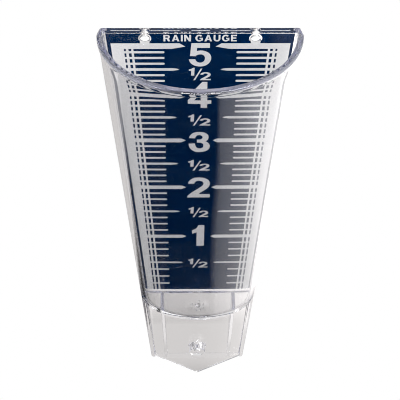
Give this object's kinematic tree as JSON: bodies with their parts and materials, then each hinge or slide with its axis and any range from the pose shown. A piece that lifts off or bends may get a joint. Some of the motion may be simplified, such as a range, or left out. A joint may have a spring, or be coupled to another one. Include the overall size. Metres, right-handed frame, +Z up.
{
  "type": "manual rain gauge",
  "caption": "Clear wedge-shaped wall rain gauge: tapered half-round cup on a flat back plate with screw holes, pointed foot and a printed inch scale.",
  "frame": {"origin": "midway between the two upper screw holes, on the rear mounting face of the back plate", "axes": "+Z up along the gauge towards the mouth, +Y out of the rear face into the post or wall, +X to the right as seen by a reader in front of the scale"},
  "size_m": [0.0896, 0.0407, 0.306],
  "materials": {
    "clear_polystyrene": "clear injection-moulded polystyrene, high gloss",
    "navy_ink": "opaque dark navy screen-print ink, seen through the clear plate",
    "white_ink": "silvery white screen-print ink, seen through the clear plate"
  },
  "bodies": {
    "root": {"gauge_body": "clear_polystyrene", "scale_backing": "navy_ink", "graduations_left": "white_ink", "graduations_right": "white_ink", "inch_numerals": "white_ink", "half_inch_marks": "white_ink", "header_legend": "white_ink"}
  },
  "joints": []
}
